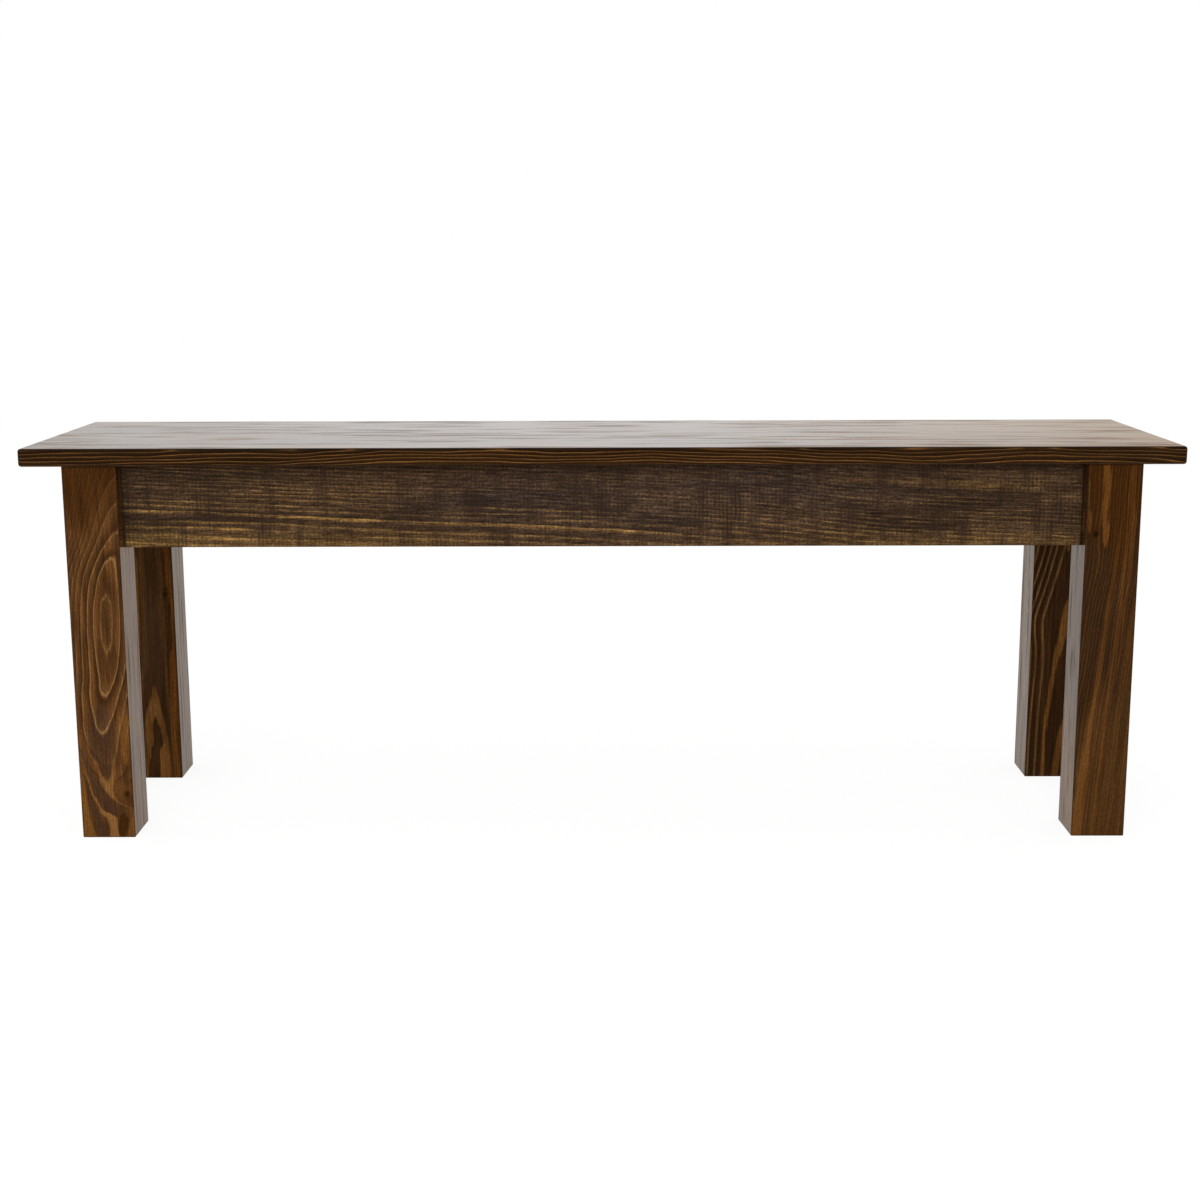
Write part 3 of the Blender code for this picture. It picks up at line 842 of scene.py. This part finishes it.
def edge_layers(grain, dark, gather):
    """Layers of ragged stain and painted shade on edges, stain in ends, and how far a point is at an end."""
    tree = grain.tree
    edge, end = edge_distance(grain)
    rag = grain_noise(grain, EDGE_SEED, *EDGE_RAG)
    reach, strength = gather
    ragged = add(tree, "Math", (rag, reach, edge), operation="MULTIPLY_ADD")
    # Stain gathered on the edges, and painted shade on the edges where a leg or apron meets the seat
    edge_stain_and_shade_cover = add(tree, "MapRange", (ragged, EDGE_FULL * reach, EDGE_END * reach, strength, 0.0))
    ended = add(tree, "MapRange", (end, 0.0, END_SHARE * reach, 1.0, 0.0))
    soaked = add(tree, "Math", (ended, END_STAIN), operation="MULTIPLY")
    return [(edge_stain_and_shade_cover, dark), (soaked, dark)], ended


def saw_layers(grain, dark):
    """A layer of stain in the saw's marks and in upright blots between them."""
    groove = add(grain.tree, "Attribute", attribute_name="saw_groove").outputs["Fac"]
    blots = grain_noise(grain, BLOT_SEED, *BLOT_SIZE, detail=2.0)
    blotted = add(grain.tree, "MapRange", (blots, *BLOT_SPAN, 0.0, BLOT_STAIN))
    return [(add(grain.tree, "Math", (groove, GROOVE_STAIN, blotted), operation="MULTIPLY_ADD"), dark)]


def stained_pine(name, board, shades, finish, colours, sawn=False):
    """Stained pine, with its figure solid through the board.

    The soft wood drinks the stain and goes dark, and the hard lines of the rings shed it and stay gold, so
    light and dark are the other way round from bare pine. shades are the dark, warm and gold colours.
    """
    dark, warm, gold = shades
    material = new_material(name)
    tree = material.node_tree
    grain = read_grain(tree, board)
    reaches = mark_distances(grain)
    lightness, soft = ring_lightness(grain, reaches)
    layers = [*warm_layers(grain, warm, gold, soft), *streak_layers(grain, colours), (lightness, gold)]
    wood = layered(tree, dark, layers)

    # Single fibres are finer than a pixel, so they are drawn in bundles a millimetre or more wide
    amount, width, run = grain.figure.fibre
    fibres = grain_noise(grain, FIBRE_SEED, width, run, detail=4.0)
    wood = toned(tree, wood, fibres, amount)
    amount, width, run = finish.fleck
    flecks = grain_noise(grain, FLECK_SEED, width, run, detail=2.0)
    wood = toned(tree, wood, flecks, amount)
    layers = mark_layers(grain, reaches, colours)
    stains, ended = edge_layers(grain, dark, finish.gather)
    layers += stains
    if sawn:
        layers += saw_layers(grain, dark)
    wood = layered(tree, wood, layers)

    # Heights are in metres. Waves under the lacquer show as long streaks at a low angle
    waves = grain_noise(grain, WAVE_SEED, finish.wave_width, WAVE_LENGTH * finish.wave_width, detail=2.0)
    rolling = add(tree, "Math", (waves, finish.waves), operation="MULTIPLY")
    lined = add(tree, "Math", (lightness, finish.relief, rolling), operation="MULTIPLY_ADD")
    height = add(tree, "Math", (fibres, FIBRE_RELIEF * finish.relief, lined), operation="MULTIPLY_ADD")
    bump = add(tree, "Bump", {"Height": height, "Strength": 1.0, "Distance": 1.0})
    sunk = grain_noise(grain, SUNK_SEED, *finish.sunk, detail=3.0)
    matt = add(tree, "MapRange", (sunk, *SUNK_SPAN, finish.gloss, finish.matt))
    rough = add(tree, "Mix", {"Factor": ended, "A": matt, "B": END_MATT}, data_type="FLOAT")
    shader = add(
        tree,
        "BsdfPrincipled",
        {
            "Base Color": wood,
            "Roughness": rough,
            "IOR": finish.ior,
            "Specular Tint": tuple(colours.sheen),
            "Normal": bump,
        },
    )
    add(tree, "OutputMaterial", {"Surface": shader})
    return material


def zinc_plated_steel(colours):
    """Zinc-plated steel: a bright grey metal with cloudy dull patches a millimetre or two across."""
    material = new_material("zinc_plated_steel")
    tree = material.node_tree
    coords = add(tree, "TexCoord").outputs["Object"]
    clouds = add(tree, "TexNoise", {"Vector": coords, "Scale": MM / ZINC_PATCH, "Detail": 2.0})
    bright, dull = tuple(colours.zinc), tuple(colours.zinc_dull)
    plating = add(tree, "Mix", {"Factor": clouds, "A": bright, "B": dull}, data_type="RGBA")
    matt = add(tree, "MapRange", (clouds, 0.0, 1.0, *ZINC_ROUGHNESS))
    shader = add(tree, "BsdfPrincipled", {"Base Color": plating, "Metallic": 1.0, "Roughness": matt})
    add(tree, "OutputMaterial", {"Surface": shader})
    return material


def eased_board(node, easing, steps, eased):
    """A bmesh of a node's box, with the edges that eased picks, by their middles, rounded over."""
    low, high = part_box(node)
    shape = bmesh.new()
    bmesh.ops.create_cube(shape, size=1.0)
    bmesh.ops.scale(shape, vec=high - low, verts=shape.verts)
    bmesh.ops.translate(shape, vec=(low + high) / 2, verts=shape.verts)
    edges = [edge for edge in shape.edges if eased((edge.verts[0].co + edge.verts[1].co) / 2)]
    bmesh.ops.bevel(
        shape, geom=edges, offset=easing, offset_type="OFFSET", affect="EDGES", segments=steps, profile=0.5,
        material=-1,
    )
    return shape


def eased_below(node, easing):
    """A bmesh of a board with its lower long edges eased."""
    edge_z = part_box(node)[0].z + easing

    def lower_long_edge(middle):
        return middle.z < edge_z and abs(middle[board_axis(node, 2)]) < easing

    return eased_board(node, easing, BOARD_EASING_STEPS, lower_long_edge)


def runs_along(edge, axis):
    """Whether an edge runs along an axis."""
    reach = edge.verts[1].co - edge.verts[0].co
    return abs(reach[axis]) > ALIGNED * reach.length


def cut_grid(shape, axis, step):
    """Divide every long edge along an axis into steps, so that its faces become strips."""
    edges = [edge for edge in shape.edges if runs_along(edge, axis)]
    longest = max(edge.calc_length() for edge in edges)
    long_edges = [edge for edge in edges if edge.calc_length() > longest / 2]
    bmesh.ops.subdivide_edges(shape, edges=long_edges, cuts=round(longest / step), use_grid_fill=True)


def patch_noise(patch, along, up, side):
    """Noise on a sawn face, in patches of (length, height, step in the noise)."""
    run, rise, step = patch
    return noise.noise(Vector((along / run, up / rise, side + step)))


def saw_relief(shape, node, sizes):
    """Sink the saw's marks into a board's two faces, and note their depth for the stain in them."""
    low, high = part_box(node)
    face_axis, along_axis = board_axis(node, 1), board_axis(node, 2)
    groove = shape.verts.layers.float.new("saw_groove")
    for vert in shape.verts:
        place = vert.co
        inward = 0.0
        if place[face_axis] - low[face_axis] < NEAR:
            inward = 1.0
        elif high[face_axis] - place[face_axis] < NEAR:
            inward = -1.0
        if not inward:
            continue
        along, up = place[along_axis] * MM, place.z * MM
        side = FIGURES[node].seed * BOARD_STEP + inward
        wander = SAW_WANDER * patch_noise(WANDER_PATCH, along, up, side)
        wave = math.cos(math.tau * (along + wander) / (sizes.saw_pitch * MM))
        depth = SAW_USUAL + SAW_VARIES * patch_noise(DEPTH_PATCH, along, up, side)
        mark = max(0.0, (wave - SAW_FLAT) / (1 - SAW_FLAT)) * min(1.0, max(0.0, depth))
        swell = 0.5 + 0.5 * patch_noise(SWELL_PATCH, along, up, side)
        vert[groove] = mark
        place[face_axis] += inward * sizes.saw_depth * (SAW_SHARE * mark + (1 - SAW_SHARE) * swell)


def screw_line(node):
    """The point of a screw, the way it is driven and its length, read from its solid."""
    verts = frame["nodes"][node].data.vertices
    spots = {tuple(round(part, NEAR_DIGITS) for part in vert.co) for vert in verts}
    points = [Vector(spot) for spot in spots]
    middle = sum(points, Vector()) / len(points)
    tip = max(points, key=lambda point: (point - middle).length)
    driven = (tip - middle).normalized()
    return tip, driven, max((tip - point).dot(driven) for point in points)


def meets(node, other):
    """Whether two nodes' boxes overlap."""
    low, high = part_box(node)
    other_low, other_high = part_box(other)
    return all(low[axis] < other_high[axis] and other_low[axis] < high[axis] for axis in range(3))


def pocket_cutter(screw):
    """The path of the bit that bored a screw's pocket: a wide bore to the head's seat and a pilot hole."""
    tip, driven, reach = screw_line(screw)
    shank = reach - HEAD_HEIGHT - HEAD_SEAT_GAP
    seat = tip - driven * shank
    profile = (
        (0.0, -POCKET_REACH),
        (POCKET_RADIUS, -POCKET_REACH),
        (POCKET_RADIUS, 0.0),
        (PILOT_RADIUS, 0.0),
        (PILOT_RADIUS, shank + PILOT_END_GAP),
        (0.0, shank + PILOT_END_GAP),
    )
    shape = bmesh.new()
    chain = [shape.verts.new((radius, 0.0, height)) for radius, height in profile]
    links = [shape.edges.new(pair) for pair in zip(chain, chain[1:])]
    bmesh.ops.spin(
        shape, geom=chain + links, cent=(0, 0, 0), axis=(0, 0, 1), angle=math.tau, steps=POCKET_SIDES,
        use_merge=True,
    )
    bmesh.ops.remove_doubles(shape, verts=shape.verts, dist=NEAR)
    bmesh.ops.recalc_face_normals(shape, faces=shape.faces)
    turn = driven.to_track_quat("Z", "Y").to_matrix().to_4x4()
    bmesh.ops.transform(shape, matrix=Matrix.Translation(seat) @ turn, verts=shape.verts)
    mesh = bpy.data.meshes.new(screw + "_pocket")
    shape.to_mesh(mesh)
    shape.free()
    return bpy.data.objects.new(screw + "_pocket", mesh)


def bored_mesh(name, shape, node):
    """A board's mesh with the pocket or pilot hole of each screw that meets its node cut out."""
    plain = bpy.data.meshes.new(name + "_plain")
    shape.to_mesh(plain)
    shape.free()
    board = bpy.data.objects.new(name + "_plain", plain)
    bpy.context.scene.collection.objects.link(board)
    holes = bpy.data.collections.new(name + "_holes")
    bpy.context.scene.collection.children.link(holes)
    for screw in SCREWS:
        if meets(node, screw):
            holes.objects.link(pocket_cutter(screw))
    bore = board.modifiers.new("screw_holes", "BOOLEAN")
    bore.operand_type = "COLLECTION"
    bore.collection = holes
    bore.solver = "MANIFOLD"
    view = bpy.context.evaluated_depsgraph_get()
    mesh = bpy.data.meshes.new_from_object(board.evaluated_get(view))
    mesh.name = name
    for thing in (board, *holes.objects):
        bpy.data.objects.remove(thing)
    bpy.data.collections.remove(holes)
    return mesh


def add_piece(name, mesh, material, node):
    """Put a finished piece in the place of its node."""
    mesh.materials.clear()
    mesh.materials.append(material)
    mesh.shade_smooth()
    mesh.set_sharp_from_angle(angle=SHARP_ANGLE)
    piece = bpy.data.objects.new(name, mesh)
    bpy.context.scene.collection.objects.link(piece)
    # A flat face stays flat to the light, right up to its rounded edges
    flats = piece.modifiers.new("flat_faces", "WEIGHTED_NORMAL")
    flats.keep_sharp = True
    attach(piece, "root")
    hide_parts(node)


def add_board(name, node, shape, pine, wood, finish, sawn=False):
    """Bore a board's screw holes, stain it in the shades of its kind of wood and put it in place."""
    colours = bpy.context.scene.harvest_bench.colours
    shades = [tuple(getattr(colours, f"{wood}_{shade}")) for shade in ("dark", "warm", "gold")]
    mesh = bored_mesh(name, shape, node)
    material = stained_pine(pine, node, shades, finish, colours, sawn)
    add_piece(name, mesh, material, node)


class BENCH_OT_seat(bpy.types.Operator):
    """Round the edges of the seat plank and lacquer it"""

    bl_idname = "bench.seat"
    bl_label = "Seat plank"

    def execute(self, context):
        sizes = context.scene.harvest_bench.sizes
        node = "seat_board"
        shape = eased_board(node, sizes.seat_rounding, sizes.rounding_steps, lambda middle: True)
        add_board("lacquered_seat", node, shape, "lacquered_seat_pine", "seat", SEAT_LACQUER)
        return {"FINISHED"}


class BENCH_OT_legs(bpy.types.Operator):
    """Ease the edges of the four legs and lacquer them"""

    bl_idname = "bench.legs"
    bl_label = "Legs"

    def execute(self, context):
        sizes = context.scene.harvest_bench.sizes
        for node in LEGS:
            # The top edges stay sharp, against the seat
            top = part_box(node)[1].z - sizes.leg_easing
            shape = eased_board(node, sizes.leg_easing, sizes.rounding_steps, lambda middle: middle.z < top)
            pine = "lacquered_pine_" + node
            add_board("lacquered_" + node, node, shape, pine, "leg", LEG_LACQUER)
        return {"FINISHED"}


class BENCH_OT_aprons(bpy.types.Operator):
    """Saw the four aprons rough and bore their screw pockets"""

    bl_idname = "bench.aprons"
    bl_label = "Aprons"

    def execute(self, context):
        sizes = context.scene.harvest_bench.sizes
        for node in APRONS:
            shape = eased_below(node, sizes.board_easing)
            cut_grid(shape, board_axis(node, 2), sizes.grid_along)
            cut_grid(shape, board_axis(node, 0), sizes.grid_across)
            saw_relief(shape, node, sizes)
            pine = "rough_sawn_pine_" + node
            add_board("sawn_" + node, node, shape, pine, "sawn", SAWN_FACE, sawn=True)
        return {"FINISHED"}


class BENCH_OT_rail(bpy.types.Operator):
    """Ease the lower edges of the cross rail and bore its screw pockets"""

    bl_idname = "bench.rail"
    bl_label = "Cross rail"

    def execute(self, context):
        node = "cross_rail"
        shape = eased_below(node, context.scene.harvest_bench.sizes.board_easing)
        add_board("stained_cross_rail", node, shape, "stained_rail_pine", "sawn", BARE_STAIN)
        return {"FINISHED"}


class BENCH_OT_screws(bpy.types.Operator):
    """Plate the pocket screws with zinc"""

    bl_idname = "bench.screws"
    bl_label = "Pocket screws"

    def execute(self, context):
        material = zinc_plated_steel(context.scene.harvest_bench.colours)
        for node in SCREWS:
            frame["nodes"][node].data.materials.clear()
            frame["nodes"][node].data.materials.append(material)
        return {"FINISHED"}


def seen_rays(tree):
    """1 for rays that show a surface, straight or in a gloss, and 0 for those that only light the bench."""
    path = add(tree, "LightPath").outputs
    straight = add(tree, "Math", (path["Is Camera Ray"], path["Is Glossy Ray"]), operation="MAXIMUM")
    return add(tree, "Math", (straight, path["Is Transmission Ray"]), operation="MAXIMUM")


def white_surroundings(stage, colours):
    """A world that looks plain white and lights the bench softly from all round.

    In a gloss, the white sweep behind the bench gives way to dimmer walls at its sides.
    """
    world = bpy.data.worlds.new("white_studio")
    world.use_nodes = True
    tree = world.node_tree
    tree.nodes.clear()
    coords = add(tree, "TexCoord").outputs["Generated"]
    direction = add(tree, "SeparateXYZ", (coords,))
    sideways = add(tree, "MapRange", (direction, -SWEEP_REACH, SWEEP_REACH))
    sweep = add(tree, "ValToRGB", (sideways,))
    walls = (tuple(colours.left_wall), WHITE, WHITE, tuple(colours.right_wall))
    set_ramp(sweep, tuple(zip(SWEEP_STOPS, walls)))
    glossy = add(tree, "LightPath").outputs["Is Glossy Ray"]
    shade = add(tree, "Mix", {"Factor": glossy, "A": WHITE, "B": sweep}, data_type="RGBA")
    seen = seen_rays(tree)
    strength = add(tree, "Mix", {"Factor": seen, "A": stage.sky, "B": 1.0}, data_type="FLOAT")
    background = add(tree, "Background", {"Color": shade, "Strength": strength})
    add(tree, "OutputWorld", {"Surface": background})
    bpy.context.scene.world = world


def pale_floor(stage, colours):
    """A matt white floor that keeps a faint shadow where the bench stands, and is clear from below."""
    shape = bmesh.new()
    bmesh.ops.create_grid(shape, x_segments=1, y_segments=1, size=stage.floor_side / 2)
    mesh = bpy.data.meshes.new("studio_floor")
    shape.to_mesh(mesh)
    shape.free()
    material = new_material("matt_white_floor")
    tree = material.node_tree
    glow = add(tree, "Math", (seen_rays(tree), stage.floor_glow), operation="MULTIPLY")
    matt = add(tree, "BsdfDiffuse", {"Color": tuple(colours.floor)})
    glossy = add(tree, "LightPath").outputs["Is Glossy Ray"]
    mirrored = tuple(colours.mirrored)
    shade = add(tree, "Mix", {"Factor": glossy, "A": WHITE, "B": mirrored}, data_type="RGBA")
    white = add(tree, "Emission", {"Color": shade, "Strength": FLOOR_WHITE})
    top = add(tree, "MixShader", (glow, matt, white))
    below = add(tree, "NewGeometry").outputs["Backfacing"]
    clear = add(tree, "BsdfTransparent")
    mixed = add(tree, "MixShader", (below, top, clear))
    add(tree, "OutputMaterial", {"Surface": mixed})
    mesh.materials.append(material)
    floor = bpy.data.objects.new("studio_floor", mesh)
    bpy.context.scene.collection.objects.link(floor)


def soft_lamp(power):
    """A large soft lamp in front of the bench, which leaves the gloss to the white surroundings."""
    lamp = bpy.data.lights.new("front_softbox", "AREA")
    lamp.shape = "RECTANGLE"
    lamp.size, lamp.size_y = LAMP_SIZE
    lamp.energy = power
    holder = bpy.data.objects.new("front_softbox", lamp)
    holder.location = LAMP_PLACE
    holder.rotation_euler = (Vector(LAMP_TARGET) - Vector(LAMP_PLACE)).to_track_quat("-Z", "Y").to_euler()
    holder.visible_glossy = False
    bpy.context.scene.collection.objects.link(holder)


def aim_camera(stage):
    """A camera at the eye's place in the picture."""
    camera = bpy.data.cameras.new("studio_camera")
    camera.sensor_width = SENSOR
    camera.lens = stage.lens
    holder = bpy.data.objects.new("studio_camera", camera)
    turn = (
        Matrix.Rotation(-stage.camera_yaw, 3, "Z")
        @ Matrix.Rotation(math.pi / 2 + stage.camera_pitch, 3, "X")
        @ Matrix.Rotation(stage.camera_roll, 3, "Z")
    )
    holder.location = stage.camera_place
    holder.rotation_euler = turn.to_euler()
    bpy.context.scene.collection.objects.link(holder)
    bpy.context.scene.camera = holder


class BENCH_OT_stage(bpy.types.Operator):
    """Set up the floor, the soft light and the camera"""

    bl_idname = "bench.stage"
    bl_label = "Stage"

    def execute(self, context):
        settings = context.scene.harvest_bench
        stage = settings.stage
        context.scene.view_settings.view_transform = "Standard"
        white_surroundings(stage, settings.colours)
        pale_floor(stage, settings.colours)
        soft_lamp(stage.lamp)
        aim_camera(stage)
        return {"FINISHED"}


OPERATORS = (
    BENCH_OT_stage,
    BENCH_OT_seat,
    BENCH_OT_legs,
    BENCH_OT_aprons,
    BENCH_OT_rail,
    BENCH_OT_screws,
)


class BENCH_PT_panel(bpy.types.Panel):
    """Lists the bench's operators and settings"""

    bl_idname = "BENCH_PT_panel"
    bl_label = "Harvest bench"
    bl_space_type = "VIEW_3D"
    bl_region_type = "UI"
    bl_category = "Bench"

    def draw(self, context):
        for operator in OPERATORS:
            self.layout.operator(operator.bl_idname)
        settings = context.scene.harvest_bench
        for group in (settings.sizes, settings.colours, settings.stage):
            for name in group.bl_rna.properties.keys():
                if name not in ("rna_type", "name"):
                    self.layout.prop(group, name)


CLASSES = (BenchSizes, BenchColours, BenchStage, BenchSettings, *OPERATORS, BENCH_PT_panel)


def register():
    for each in CLASSES:
        bpy.utils.register_class(each)
    bpy.types.Scene.harvest_bench = bpy.props.PointerProperty(type=BenchSettings)


def unregister():
    del bpy.types.Scene.harvest_bench
    for each in reversed(CLASSES):
        bpy.utils.unregister_class(each)


def main():
    register()
    bpy.ops.bench.stage()
    bpy.ops.bench.seat()
    bpy.ops.bench.legs()
    bpy.ops.bench.aprons()
    bpy.ops.bench.rail()
    bpy.ops.bench.screws()


if __name__ == "__main__":
    main()
